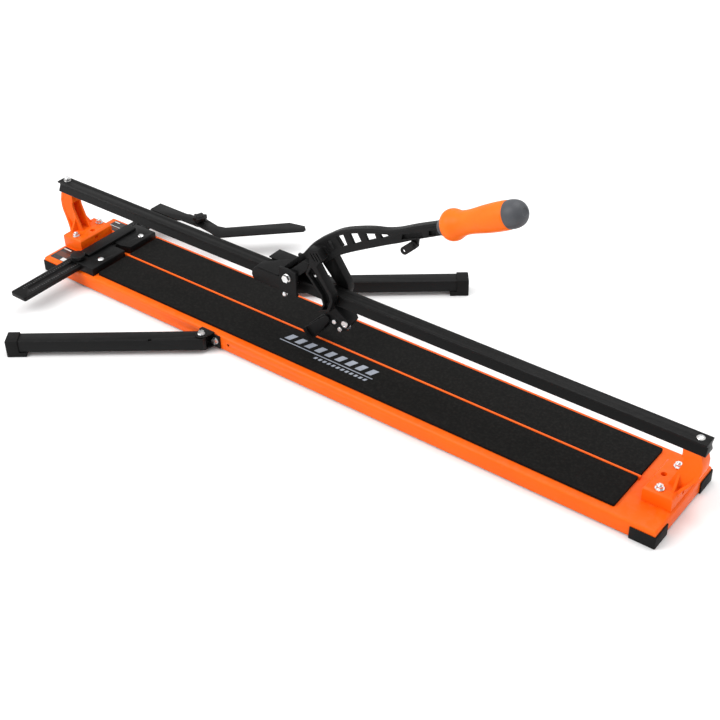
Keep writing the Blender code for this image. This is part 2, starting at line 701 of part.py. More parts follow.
ROLLER_Z = RAIL_TOP - WAIST_DEPTH - WAIST_HEIGHT / 2
ROLLER_Y = WAIST_HALF + ROLLER_PLAY + ROLLER_RADIUS
ROLLER_XS = (CHEEK_LEFT + 24.0, CHEEK_RIGHT - 16.0)
CHEEK_INNER = ROLLER_Y + ROLLER_RADIUS + SEAT
CHEEK_OUTER = CHEEK_INNER + CHEEK
CHEEK_BOTTOM = RAIL_BOTTOM - CHEEK_BELOW_RAIL
CHEEK_TOP = RAIL_TOP + CHEEK_ABOVE_RAIL
EAR_TOP = RAIL_TOP + EAR_ABOVE_RAIL


def cheek(side):
    """Side plate of the carriage, with an ear for the lever's pivot and a lug and stud for each roller."""
    outline = [(EAR_LEFT, CHEEK_TOP), (EAR_LEFT, EAR_TOP), (CHEEK_RIGHT, EAR_TOP), (CHEEK_RIGHT, CHEEK_BOTTOM),
               (CHEEK_LEFT + 8, CHEEK_BOTTOM)]
    outline += [(CHEEK_LEFT + 2, CHEEK_BOTTOM + 5), (CHEEK_LEFT, CHEEK_BOTTOM + 12),
                (CHEEK_LEFT + 2, CHEEK_TOP - 8), (CHEEK_LEFT + 6, CHEEK_TOP - 2.5), (CHEEK_LEFT + 11, CHEEK_TOP)]
    shape = prism(outline, "Y", CHEEK_INNER, CHEEK_OUTER)
    shape = bevelled(shape, 0.8, lambda a, b: min(a.y, b.y) > CHEEK_OUTER - 0.1)
    extras = []
    half = ROLLER_WIDTH / 2
    for x in ROLLER_XS:
        at = (x, ROLLER_Y, ROLLER_Z)
        low = ROLLER_Z + half + RUNNING
        extras.append(box((x - 7, RAIL_WIDTH / 2 + 0.7, low), (x + 7, CHEEK_INNER + 2, low + 4)))
        stud = ROLLER_BORE - BOLT_PLAY
        profile = [(0, half + 3), (stud, half + 3), (stud, -half - RUNNING), (3.5, -half - RUNNING),
                   (3.5, -half - 3), (0, -half - 3)]
        extras.append(turned(list(reversed(profile)), at, (0, 0, 1), 20))
    hole = rod((PIVOT_X, CHEEK_INNER, PIVOT_Z), (0, 1, 0), M8 + BOLT_PLAY, -3, CHEEK + 3, 24)
    shape = cut(joined(shape, *extras), hole)
    return shape if side > 0 else mirrored(shape, (0, 1, 0))


def cover():
    """Plate over the rail that ties the two cheeks, with a tab at the back and a notch over the rail."""
    right = EAR_LEFT - 2.5
    left = CHEEK_LEFT + 11
    outline = [(left, -CHEEK_OUTER + 1), (right, -CHEEK_OUTER + 1), (right, CHEEK_OUTER + 9),
               (left - 2, CHEEK_OUTER + 9), (left - 2, 9), (left + 20, 9), (left + 8, -4), (left, -8)]
    low = CHEEK_TOP + SEAT
    return prism(outline, "Z", low, low + COVER)


def roller():
    """Guide roller that runs in the rail's waist."""
    half = ROLLER_WIDTH / 2
    return [(ROLLER_BORE, -half), (ROLLER_RADIUS - 0.6, -half), (ROLLER_RADIUS, -half + 0.6),
            (ROLLER_RADIUS, half - 0.6), (ROLLER_RADIUS - 0.6, half), (ROLLER_BORE, half)]


def lever_bolt():
    """Long bolt through both ears and the lever's root, with a nut at the back."""
    at = (PIVOT_X, -CHEEK_OUTER - SEAT, PIVOT_Z)
    length = 2 * CHEEK_OUTER + 2 * SEAT + 8
    head = bolt(at, (0, -1, 0), M8, length, 13, 5.5, washer=8.0)
    return joined(head, hexagon((PIVOT_X, CHEEK_OUTER + SEAT, PIVOT_Z), (0, 1, 0), 13, 0, 6))


def adjusting_screw():
    """Domed cap screw under the front cheek."""
    at = (EAR_LEFT + 8.5, -CHEEK_INNER - CHEEK / 2, CHEEK_BOTTOM - SEAT)
    profile = [(0, 0), (3.0, 0), (3.0, -2), (5.0, -2), (5.0, -6), (4.2, -8.4), (2.4, -9.8), (0, -10.2)]
    return turned(profile, at, (0, 0, 1), 24)


# Lever --------------------------------------------------------------------------------------------------

def from_pivot(points):
    """Outline points measured from the lever's pivot, as (x, z) of the world."""
    drop = RAIL_HEIGHT + PIVOT_ABOVE_RAIL - DRAWN_DROP
    return [(PIVOT_X + u, PIVOT_Z + w - (drop if w < RAIL_LINE else 0)) for u, w in points]


def lever_prism(points, low, high):
    """A slab across the carriage from an outline measured from the lever's pivot."""
    return prism(from_pivot(points), "Y", low, high)


def grip_axis():
    """Start and direction of the grip's axis."""
    start = Vector((PIVOT_X + GRIP_START[0], 0, PIVOT_Z + GRIP_START[1]))
    return start, Vector((math.cos(GRIP_ANGLE), 0, math.sin(GRIP_ANGLE)))


# Top and bottom edge of the lever at each station, then the y of its web's back face and of its lower
# flange's edge
LEVER_STATIONS = (
    ((22, 48), (40, 32), -5, 3), ((46, 77), (72, 47), -5, 3), ((76, 101), (96, 67), -5, 3),
    ((103, 119), (123, 84), -5, 3), ((135, 133), (152, 100), -5, 3), ((167, 144), (182, 116), -5, 3),
    ((192, 150), (205, 128), -4, 4), ((219, 160), (229, 140), 7, 9), ((254, 178), (262, 158), 7.6, 9.4),
    ((298.6, 198.8), (308, 181.1), 7.6, 9.4))
LEVER_WINDOWS = (
    ((75, 89), (84, 96), (92, 82), (86.5, 77)),
    ((96.6, 106.5), (112.3, 115.4), (120.8, 98), (107.9, 90.2)),
    ((125.4, 122.3), (142.6, 128.6), (150.7, 115.5), (134.5, 105.4)),
    ((157.6, 133.3), (178.2, 140.0), (181.7, 131.9), (163.6, 121.8)),
    ((187.6, 142.6), (203.4, 147.2), (208.8, 145.3), (192.1, 136.5)))
SIDE_RECESSES = (
    ((232, 148), (234, 158), (272, 175.5), (274, 166)),
    ((285, 173), (285, 182), (299, 188.5), (300, 180)))
ROOT_RADIUS = 8.0
LINK_PIVOT = (252, 142)


def lever_section(top, bottom, web_back, lower_back):
    """Ring of the lever's channel section, open at the back, between its top and bottom edge."""
    flange = LEVER_FLANGE_HALF
    upper = 4.5
    lower = 3.5
    height = math.dist(top, bottom)
    ring = [(-flange, 1.2), (-flange + 1.2, 0), (lower_back, 0), (lower_back, lower), (web_back, lower),
            (web_back, height - upper), (flange, height - upper), (flange, height - 1.6), (flange - 3, height),
            (-flange + 3, height), (-flange, height - 2)]
    points = []
    for y, v in ring:
        share = v / height
        u = bottom[0] + (top[0] - bottom[0]) * share
        w = bottom[1] + (top[1] - bottom[1]) * share
        points.append((PIVOT_X + u, y, PIVOT_Z + w))
    return points


def smooth_stations(stations, steps):
    """Stations between the drawn ones, on a curve through them."""
    rows = [(*top, *bottom, web_back, lower_back) for top, bottom, web_back, lower_back in stations]
    result = []
    for i in range(len(rows) - 1):
        before = rows[max(i - 1, 0)]
        after = rows[min(i + 2, len(rows) - 1)]
        for step in range(steps):
            t = step / steps
            blend = [0.5 * (2 * b + (c - a) * t + (2 * a - 5 * b + 4 * c - d) * t * t
                            + (3 * b - a - 3 * c + d) * t ** 3)
                     for a, b, c, d in zip(before, rows[i], rows[i + 1], after)]
            result.append(blend)
    result.append(rows[-1])
    return [((row[0], row[1]), (row[2], row[3]), row[4], row[5]) for row in result]


def lever_casting():
    """Lever with its windowed web, hub, root, stop strap, link lug and the tang inside the grip."""
    rings = [lever_section(*station) for station in smooth_stations(LEVER_STATIONS, 3)]
    shape = lofted(rings)
    root = arc((0, 0), ROOT_RADIUS, 165, 310, 10) + [(38, 24), (46, 42), (32, 42), (-6, 6)]
    strap = [(-28, -1.9), (-26, 2.5), (29, 54.5), (35, 50), (-20, -1.9)]
    hub = [(52, 51), (51, 75), (73, 79), (84, 70), (65, 50)]
    lug = arc(LINK_PIVOT, 7, 150, 380, 10) + [(LINK_PIVOT[0] + 10, 166), (LINK_PIVOT[0] - 6, 160)]
    start, direction = grip_axis()
    shape = joined(shape, lever_prism(root, -CHEEK_INNER + RUNNING, CHEEK_INNER - RUNNING),
                   lever_prism(strap, -6, 6), lever_prism(hub, -YOKE_INNER + SEAT, YOKE_INNER - SEAT),
                   lever_prism(lug, -2.5, 2.5), rod(start, direction, TANG, -12, TANG_REACH, 24))
    tools = [lever_prism(window, -20, 20) for window in LEVER_WINDOWS]
    for recess in SIDE_RECESSES:
        tools.append(lever_prism(recess, 5.0, 20))
        tools.append(lever_prism(recess, -20, -5.0))
    tools.append(rod((PIVOT_X, 0, PIVOT_Z), (0, 1, 0), M8 + BOLT_PLAY, -40, 40, 24))
    link_x, link_z = from_pivot([LINK_PIVOT])[0]
    tools.append(rod((link_x, 0, link_z), (0, 1, 0), 2.3, -8, 8, 16))
    return cut(shape, *tools)


def yoke_arm(side):
    """Arm of the yoke that passes the rail on one side, with a long pocket in its outer face."""
    outline = [(53, 48), (43, 25), (73, -8), (79, -25), (69, -43.5), (92, -37), (101, -13), (99, 1),
               (68, 48), (83, 66), (71, 80), (50, 76)]
    pocket = [(48.5, 27), (77, -5.5), (83, -24.5), (76, -38), (88, -33), (95.5, -13), (93.5, -2), (60.5, 41),
              (56, 41)]
    shape = lever_prism(outline, YOKE_INNER, YOKE_OUTER)
    shape = bevelled(shape, 1.0, lambda a, b: min(a.y, b.y) > YOKE_OUTER - 0.1)
    grooves = []
    for i in range(3):
        step = Vector((6.2, 2.6)) * i
        start = Vector((55.0, 69.5)) + step
        groove = [start, start + Vector((2.6, 1.1)), start + Vector((12.6, -12.2)), start + Vector((10.0, -13.3))]
        grooves.append(lever_prism(groove, YOKE_OUTER - 2, YOKE_OUTER + 5))
    shape = cut(shape, lever_prism(pocket, YOKE_OUTER - 9, YOKE_OUTER + 5), *grooves)
    return shape if side > 0 else mirrored(shape, (0, 1, 0))


# Places on the holder, measured from the lever's pivot
WHEEL_AXLE = (104, -75)
WHEEL_RADIUS = 11.0
HOLDER_SCREW = (92, -64)
RING_NUT = (114, -61)
FOOT_PIN = (76, -63)
HOLDER_HALF = YOKE_INNER - SEAT
PIN_RADIUS = 3.0


def wheel_holder():
    """Block below the rail that carries the cutting wheel in a slot and the breaker foot on a pin."""
    outline = [(68, -42), (73, -35), (91, -34), (98, -40), (117, -53), (121, -61), (117, -69), (111, -78),
               (104, -81), (96, -80), (78, -73), (69, -66)]
    shape = lever_prism(outline, -HOLDER_HALF, HOLDER_HALF)
    slot = [(91, -61.5), (117, -61.5), (117, -100), (91, -100)]
    tools = [lever_prism(slot, -2.0, 2.0)]
    for place, radius in ((WHEEL_AXLE, M5), (FOOT_PIN, PIN_RADIUS)):
        x, z = from_pivot([place])[0]
        tools.append(rod((x, 0, z), (0, 1, 0), radius + BOLT_PLAY, -20, 20, 20))
    for place in (HOLDER_SCREW, RING_NUT):
        x, z = from_pivot([place])[0]
        tools.append(rod((x, -HOLDER_HALF, z), (0, 1, 0), M5 + BOLT_PLAY, -4, 9, 20))
    return cut(shape, *tools)


def holder_screw():
    """Cap screw in the holder's front face."""
    x, z = from_pivot([HOLDER_SCREW])[0]
    profile = [(0, -8), (M5, -8), (M5, 0), (4.4, 0), (4.4, 3), (3.8, 3.8), (0, 3.8)]
    return turned(profile, (x, -HOLDER_HALF - SEAT, z), (0, -1, 0), 24)


def ring_nut():
    """Thin ring nut in the holder's front face."""
    x, z = from_pivot([RING_NUT])[0]
    profile = [(0, -8), (M5, -8), (M5, 0), (6.2, 0), (6.2, 2.4), (4.6, 2.4), (4.6, 1.4), (0, 1.4)]
    return turned(profile, (x, -HOLDER_HALF - SEAT, z), (0, -1, 0), 24)


def wheel_axle():
    """Screw that the cutting wheel turns on."""
    x, z = from_pivot([WHEEL_AXLE])[0]
    length = 2 * HOLDER_HALF + 2
    profile = [(0, -length), (M5, -length), (M5, 0), (4.6, 0), (4.6, 3), (3.9, 4), (0, 4)]
    return turned(profile, (x, -HOLDER_HALF - SEAT, z), (0, -1, 0), 24)


def cutting_wheel():
    """Hard wheel with a sharp rim."""
    x, z = from_pivot([WHEEL_AXLE])[0]
    bore = M5 + BOLT_PLAY
    profile = [(bore, -1.5), (WHEEL_RADIUS - 2, -1.5), (WHEEL_RADIUS - 0.2, -0.2), (WHEEL_RADIUS - 0.2, 0.2),
               (WHEEL_RADIUS - 2, 1.5), (bore, 1.5)]
    return turned(profile, (x, 0, z), (0, 1, 0), 40)


def breaker_foot():
    """Ribbed foot that presses the tile either side of the score, on two lugs and a pin."""
    top = Vector((30, -96))
    low = Vector((47, -115))
    back = 3.5
    normal = Vector((19, 17)).normalized()
    plate = [top, low, low - normal * back, top - normal * back]
    shape = lever_prism(plate, -29, 29)
    parts = []
    for i in range(7):
        y = -25.5 + 8.5 * i
        rib = [top + (low - top) * 0.06 - normal, low + (top - low) * 0.06 - normal,
               low + (top - low) * 0.06 + normal * 1.4, top + (low - top) * 0.06 + normal * 1.4]
        parts.append(lever_prism(rib, y - 1.1, y + 1.1))
    lug = arc(FOOT_PIN, 6, -40, 150, 8) + [(29.5, -97.5), (45.0, -114.8)]
    inner = HOLDER_HALF + RUNNING
    parts.append(lever_prism(lug, inner, inner + 4))
    parts.append(lever_prism(lug, -inner - 4, -inner))
    x, z = from_pivot([FOOT_PIN])[0]
    parts.append(rod((x, 0, z), (0, 1, 0), PIN_RADIUS, -inner - 2, inner + 2, 20))
    return joined(shape, *parts)


def transport_link():
    """Short link with a hole at its free end, riveted to the lever's lug."""
    end = (LINK_PIVOT[0] - 18.3, LINK_PIVOT[1] - 17.1)
    outline = arc(LINK_PIVOT, 7, -47, 133, 10) + arc(end, 7, 133, 313, 10)
    plate = lever_prism(outline, -5.8, -2.8)
    x, z = from_pivot([LINK_PIVOT])[0]
    rivet = turned([(0, -9), (1.6, -9), (3.6, -7.6), (3.6, -5.2), (2.0, -5.2), (2.0, 2.8), (3.6, 2.8),
                    (3.6, 4.2), (0, 4.8)], (x, 0, z), (0, 1, 0), 20)
    shape = joined(plate, rivet)
    x, z = from_pivot([end])[0]
    return cut(shape, rod((x, 0, z), (0, 1, 0), 2.6, -10, 4, 20))


COLLAR_LENGTH = 9.0
GRIP_LENGTH = 126.0
GRIP_SHAPE = ((0.0, 15.5), (0.015, 21.0), (0.06, 25.0), (0.12, 25.9), (0.16, 25.4), (0.20, 23.6), (0.255, 20.6),
              (0.36, 19.6), (0.50, 20.4), (0.64, 22.0), (0.76, 22.8), (0.88, 23.2), (1.0, 22.8))


def turned_on_grip(profile, segments=32):
    """Revolve a (radius, distance) profile about the grip's axis."""
    start, direction = grip_axis()
    return turned(profile, start, direction, segments)


def grip_collar():
    """Ring between the lever's end and the grip."""
    bore = TANG + BOLT_PLAY
    low = -COLLAR_LENGTH / 3
    high = low + COLLAR_LENGTH
    outer = [(13.0, low), (13.8, low + 1), (16.2, high - 1.5), (16.2, high)]
    return turned_on_grip([(bore, low)] + outer + [(bore, high)])


def grip():
    """Moulded grip over the tang."""
    bore = TANG + BOLT_PLAY
    low = COLLAR_LENGTH * 2 / 3 + SEAT
    outer = [(radius, low + share * GRIP_LENGTH) for share, radius in GRIP_SHAPE]
    inside = TANG_REACH + 2
    return turned_on_grip([(bore, low)] + outer + [(0, low + GRIP_LENGTH), (0, inside), (bore, inside)])


def grip_cap():
    """Domed end cap of the grip."""
    low = COLLAR_LENGTH * 2 / 3 + 2 * SEAT + GRIP_LENGTH
    dome = [(22.6, low), (22.4, low + 8), (21.0, low + 15), (18.2, low + 21), (13.8, low + 26), (7.6, low + 29.3)]
    return turned_on_grip([(0, low)] + dome + [(0, low + 30.5)])


# Assembly -----------------------------------------------------------------------------------------------

def build():
    """Make every piece and hang it on its joint."""
    for item in list(bpy.data.objects):
        bpy.data.objects.remove(item)

    orange = material("orange_powder_coat", (0.90, 0.22, 0.015), 0.0, 0.35)
    black_rail = material("black_rail", (0.018, 0.018, 0.018), 0.3, 0.38)
    black_cast = material("black_cast", (0.022, 0.022, 0.023), 0.1, 0.50)
    black_sheet = material("black_sheet", (0.020, 0.020, 0.021), 0.2, 0.42)
    bed_rubber = material("bed_rubber", (0.016, 0.016, 0.016), 0.0, 0.80)
    guard_rubber = material("guard_rubber", (0.020, 0.021, 0.020), 0.0, 0.70)
    zinc = material("zinc", (0.70, 0.71, 0.72), 1.0, 0.30)
    carbide = material("carbide", (0.45, 0.45, 0.46), 1.0, 0.25)
    knob_plastic = material("knob_plastic", (0.03, 0.03, 0.032), 0.0, 0.45)
    grip_orange = material("grip_orange", (0.92, 0.24, 0.02), 0.0, 0.50)
    grip_grey = material("grip_grey", (0.10, 0.105, 0.115), 0.0, 0.50)

    ends = (("left", -1), ("right", 1))
    sides = (("front", -1), ("rear", 1))

    # Fixed pieces
    solid("base_tray", tray(), orange)
    solid("breaker_bar", breaker_bar(), orange)
    solid("guide_rail", rail(), black_rail)
    for side_name, side in sides:
        solid(side_name + "_bed", bed(side), bed_rubber)
    for end_name, end in ends:
        solid(end_name + "_end_post", post(end), orange)
        solid(end_name + "_rail_bolt", rail_bolt(end), zinc)
        for side_name, side in sides:
            solid("corner_guard_" + end_name + "_" + side_name, guard(end, side), guard_rubber)
            seat = (end * (HALF_LENGTH - POST_INSET - FOOT_BOLT_INSET), side * FOOT_BOLT_SPREAD, FOOT_TOP + SEAT)
            post_bolt = bolt(seat, (0, 0, 1), M6, FOOT_HEIGHT + 3, 10, 5, washer=7.5, stud=2.5)
            solid("post_bolt_" + end_name + "_" + side_name, post_bolt, zinc)
    solid("fence_front", fence_front(), black_sheet)
    solid("fence_rear", fence_rear(), black_sheet)
    solid("fence_bar", fence_bar(), black_sheet)
    solid("fence_screw_front", fence_screw(-FENCE_SCREW_SPREAD), zinc)
    solid("fence_screw_rear", fence_screw(FENCE_SCREW_SPREAD), zinc)

    # Extension ruler, its knob and the angle guide
    ruler_slide = pivot("ruler_slide", (RULER_X - RULER_WIDTH / 2, 0, RULER_BOTTOM))
    solid("extension_ruler", ruler(), black_sheet, (RULER_X - RULER_WIDTH / 2, 0, RULER_BOTTOM), ruler_slide)
    solid("ruler_knob", ruler_knob(), knob_plastic, knob_place())
    carrier_place = (RULER_X - RULER_WIDTH / 2, (CARRIER_FRONT + CARRIER_BACK) / 2, CARRIER_TOP)
    carrier = solid("angle_carrier", angle_carrier(), black_sheet, carrier_place, ruler_slide)
    angle_place = (*ANGLE_PIVOT, CARRIER_TOP)
    angle_turn = pivot("angle_turn", angle_place, carrier)
    solid("angle_arm", angle_arm(), black_sheet, angle_place, angle_turn)
    solid("angle_knob", angle_knob(), knob_plastic, angle_place, carrier)

    # Support arms, the rear one a half turn of the front one
    for side_name, side in sides:
        shapes = [arm_bracket(), bracket_bolt(), arm_pivot_bolt(), support_arm(), arm_foot()]
        if side > 0:
            shapes = [half_turned(shape) for shape in shapes]
        at = (ARM_PIVOT_X, -side * ARM_PIVOT_Y, 0)
        turn = pivot(side_name + "_arm_turn", at)
        solid(side_name + "_arm_bracket", shapes[0], black_sheet)
        solid(side_name + "_bracket_bolt", shapes[1], zinc)
        solid(side_name + "_arm_pivot_bolt", shapes[2], zinc)
        solid(side_name + "_support_arm", shapes[3], black_sheet, at, turn)
        solid(side_name + "_arm_foot", shapes[4], guard_rubber, at, turn)

    # Carriage
    carriage = pivot("carriage", (PIVOT_X, 0, RAIL_BOTTOM))
    for side_name, side in sides:
        solid("carriage_cheek_" + side_name, cheek(side), black_cast, (PIVOT_X, 0, RAIL_BOTTOM), carriage)
        for end_name, x in zip(("left", "right"), ROLLER_XS):
            at = (x, side * ROLLER_Y, ROLLER_Z)
            ring = turned(roller(), at, (0, 0, 1), 28)
            solid("guide_roller_" + end_name + "_" + side_name, ring, zinc, at, carriage)
    solid("carriage_cover", cover(), black_cast, (PIVOT_X, 0, RAIL_BOTTOM), carriage)
    solid("lever_pivot_bolt", lever_bolt(), zinc, (PIVOT_X, 0, PIVOT_Z), carriage)
    solid("adjusting_screw", adjusting_screw(), zinc, (PIVOT_X, 0, PIVOT_Z), carriage)

    # Lever and what it carries
    lever_place = (PIVOT_X, 0, PIVOT_Z)
    lever = pivot("lever", lever_place, carriage)
    solid("lever_casting", lever_casting(), black_cast, lever_place, lever)
    for side_name, side in sides:
        solid("yoke_arm_" + side_name, yoke_arm(side), black_cast, lever_place, lever)
    solid("wheel_holder", wheel_holder(), black_cast, lever_place, lever)
    solid("holder_screw", holder_screw(), zinc, lever_place, lever)
    solid("ring_nut", ring_nut(), zinc, lever_place, lever)
    solid("wheel_axle", wheel_axle(), zinc, lever_place, lever)
    solid("grip_collar", grip_collar(), grip_grey, lever_place, lever)
    solid("grip", grip(), grip_orange, lever_place, lever)
    solid("grip_cap", grip_cap(), grip_grey, lever_place, lever)

    def hung(place):
        x, z = from_pivot([place])[0]
        return (x, 0, z)

    solid("cutting_wheel", cutting_wheel(), carbide, hung(WHEEL_AXLE), lever)
    solid("breaker_foot", breaker_foot(), black_cast, hung(FOOT_PIN), lever)
    solid("transport_link", transport_link(), black_sheet, hung(LINK_PIVOT), lever)


build()
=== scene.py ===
import json
import math

import bmesh
import bpy
from mathutils import Matrix, Vector

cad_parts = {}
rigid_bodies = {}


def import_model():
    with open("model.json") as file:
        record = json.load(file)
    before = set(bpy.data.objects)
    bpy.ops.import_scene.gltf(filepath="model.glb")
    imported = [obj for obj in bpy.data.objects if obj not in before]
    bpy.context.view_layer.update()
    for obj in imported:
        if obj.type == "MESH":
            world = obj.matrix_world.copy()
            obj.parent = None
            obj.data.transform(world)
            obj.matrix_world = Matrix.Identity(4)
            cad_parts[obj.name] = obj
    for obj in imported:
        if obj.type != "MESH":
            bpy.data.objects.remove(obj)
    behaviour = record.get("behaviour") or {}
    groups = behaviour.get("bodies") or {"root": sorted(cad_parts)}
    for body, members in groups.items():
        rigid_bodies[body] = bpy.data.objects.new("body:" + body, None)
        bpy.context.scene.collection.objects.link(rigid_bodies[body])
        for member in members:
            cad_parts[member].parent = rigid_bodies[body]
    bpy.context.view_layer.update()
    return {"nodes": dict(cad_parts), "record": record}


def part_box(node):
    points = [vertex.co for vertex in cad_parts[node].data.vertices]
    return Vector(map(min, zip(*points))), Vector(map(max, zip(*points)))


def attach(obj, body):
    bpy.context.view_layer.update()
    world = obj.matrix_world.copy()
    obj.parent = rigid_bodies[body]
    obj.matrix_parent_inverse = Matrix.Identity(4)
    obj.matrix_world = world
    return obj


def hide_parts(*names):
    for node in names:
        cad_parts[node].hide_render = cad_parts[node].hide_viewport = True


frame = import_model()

record = frame["record"]
BODY_OF = {node: body for body, members in record["behaviour"]["bodies"].items() for node in members}
SLOT_OF = {part["node"]: part["material_slot"] for part in record["subparts"]}
MM = 0.001


# Shared effects ---------------------------------------------------------------------------------------

def new_group(name, inputs, outputs):
    """An empty shader group with named inputs (name, kind, value) and outputs (name, kind)."""
    group = bpy.data.node_groups.new(name, "ShaderNodeTree")
    for label, kind, value in inputs:
        socket = group.interface.new_socket(label, in_out="INPUT", socket_type=kind)
        if value is not None:
            socket.default_value = value
    for label, kind in outputs:
        group.interface.new_socket(label, in_out="OUTPUT", socket_type=kind)
    return group, group.nodes.new("NodeGroupInput"), group.nodes.new("NodeGroupOutput")


def node(tree, kind, **values):
    """A node, with its plain settings and its input values."""
    made = tree.nodes.new(kind)
    for label, value in values.items():
        if hasattr(made, label):
            setattr(made, label, value)
        else:
            made.inputs[label.replace("_", " ")].default_value = value
    return made


def math_node(tree, operation, *terms, clamp=False):
    """A Math node on sockets or numbers."""
    made = tree.nodes.new("ShaderNodeMath")
    made.operation = operation
    made.use_clamp = clamp
    for socket, value in zip(made.inputs, terms):
        if isinstance(value, (int, float)):
            socket.default_value = value
        else:
            tree.links.new(value, socket)
    return made.outputs[0]


def ranged(tree, value, low, high, to_low, to_high):
    """A Map Range node."""
    made = tree.nodes.new("ShaderNodeMapRange")
    tree.links.new(value, made.inputs["Value"])
    for label, number in (("From Min", low), ("From Max", high), ("To Min", to_low), ("To Max", to_high)):
        made.inputs[label].default_value = number
    return made.outputs["Result"]


def build_edge_wear_and_highlight():
    """Mask of the sharp outer edges, broken up by noise, where a coating is rubbed and a painted edge
    highlight is laid.
    """
    group, start, end = new_group(
        "edge_wear_and_highlight",
        [("Vector", "NodeSocketVector", None), ("Radius", "NodeSocketFloat", 0.0012),
         ("Reach", "NodeSocketFloat", 0.12), ("Breakup", "NodeSocketFloat", 160.0)],
        [("Mask", "NodeSocketFloat")])
    soft = node(group, "ShaderNodeBevel", samples=4)
    true = node(group, "ShaderNodeNewGeometry")
    dot = node(group, "ShaderNodeVectorMath", operation="DOT_PRODUCT")
    noise = node(group, "ShaderNodeTexNoise", Detail=5.0, Roughness=0.7)
    link = group.links.new
    link(start.outputs["Radius"], soft.inputs["Radius"])
    link(soft.outputs["Normal"], dot.inputs[0])
    link(true.outputs["Normal"], dot.inputs[1])
    link(start.outputs["Vector"], noise.inputs["Vector"])
    link(start.outputs["Breakup"], noise.inputs["Scale"])
    bend = math_node(group, "SUBTRACT", 1.0, dot.outputs["Value"])
    share = math_node(group, "DIVIDE", bend, start.outputs["Reach"], clamp=True)
    patches = ranged(group, noise.outputs["Fac"], 0.42, 0.66, 0.0, 1.0)
    link(math_node(group, "MULTIPLY", share, patches, clamp=True), end.inputs["Mask"])
    return group


def build_surface_grain():
    """Two sizes of noise: a height for bump, and a slow drift that varies colour and gloss."""
    group, start, end = new_group(
        "surface_grain",
        [("Vector", "NodeSocketVector", None), ("Fine", "NodeSocketFloat", 900.0),
         ("Slow", "NodeSocketFloat", 14.0), ("Detail", "NodeSocketFloat", 3.0)],
        [("Height", "NodeSocketFloat"), ("Drift", "NodeSocketFloat")])
    fine = node(group, "ShaderNodeTexNoise", Roughness=0.6)
    slow = node(group, "ShaderNodeTexNoise", Detail=4.0, Roughness=0.55)
    link = group.links.new
    for noise, scale in ((fine, "Fine"), (slow, "Slow")):
        link(start.outputs["Vector"], noise.inputs["Vector"])
        link(start.outputs[scale], noise.inputs["Scale"])
    link(start.outputs["Detail"], fine.inputs["Detail"])
    link(fine.outputs["Fac"], end.inputs["Height"])
    link(ranged(group, slow.outputs["Fac"], 0.3, 0.7, 0.0, 1.0), end.inputs["Drift"])
    return group


def build_settled_dust():
    """Mask of fine dust that lies on faces that look up."""
    group, start, end = new_group(
        "settled_dust",
        [("Vector", "NodeSocketVector", None), ("Scale", "NodeSocketFloat", 60.0),
         ("Amount", "NodeSocketFloat", 0.3)],
        [("Mask", "NodeSocketFloat")])
    geometry = node(group, "ShaderNodeNewGeometry")
    split = node(group, "ShaderNodeSeparateXYZ")
    noise = node(group, "ShaderNodeTexNoise", Detail=8.0, Roughness=0.72)
    link = group.links.new
    link(geometry.outputs["Normal"], split.inputs[0])
    link(start.outputs["Vector"], noise.inputs["Vector"])
    link(start.outputs["Scale"], noise.inputs["Scale"])
    up = ranged(group, split.outputs["Z"], 0.3, 1.0, 0.0, 1.0)
    specks = ranged(group, noise.outputs["Fac"], 0.46, 0.72, 0.0, 1.0)
    lying = math_node(group, "MULTIPLY", up, specks)
    link(math_node(group, "MULTIPLY", lying, start.outputs["Amount"], clamp=True), end.inputs["Mask"])
    return group


EDGE_WEAR_AND_HIGHLIGHT = build_edge_wear_and_highlight()
SURFACE_GRAIN = build_surface_grain()
SETTLED_DUST = build_settled_dust()


# Finishes ---------------------------------------------------------------------------------------------

# Colour of rubbed edges on the black finishes, which also serves as a painted edge highlight
EDGE_STEEL_AND_HIGHLIGHT = (0.32, 0.32, 0.33)
EDGE_WEAR_AND_HIGHLIGHT_METALLIC = 0.6
DUST_ROUGHENS = 0.3


def placed_group(tree, group, vector, **values):
    """A shared effect placed in a material with its own values."""
    made = tree.nodes.new("ShaderNodeGroup")
    made.node_tree = group
    tree.links.new(vector, made.inputs["Vector"])
    for label, value in values.items():
        made.inputs[label].default_value = value
    return made


def mixed(tree, share, first, second):
    """A colour mix; first and second are colours or sockets."""
    made = tree.nodes.new("ShaderNodeMix")
    made.data_type = "RGBA"
    tree.links.new(share, made.inputs[0])
    for socket, value in ((made.inputs[6], first), (made.inputs[7], second)):
        if isinstance(value, tuple):
            socket.default_value = (*value, 1.0)
        else:
            tree.links.new(value, socket)
    return made.outputs[2]


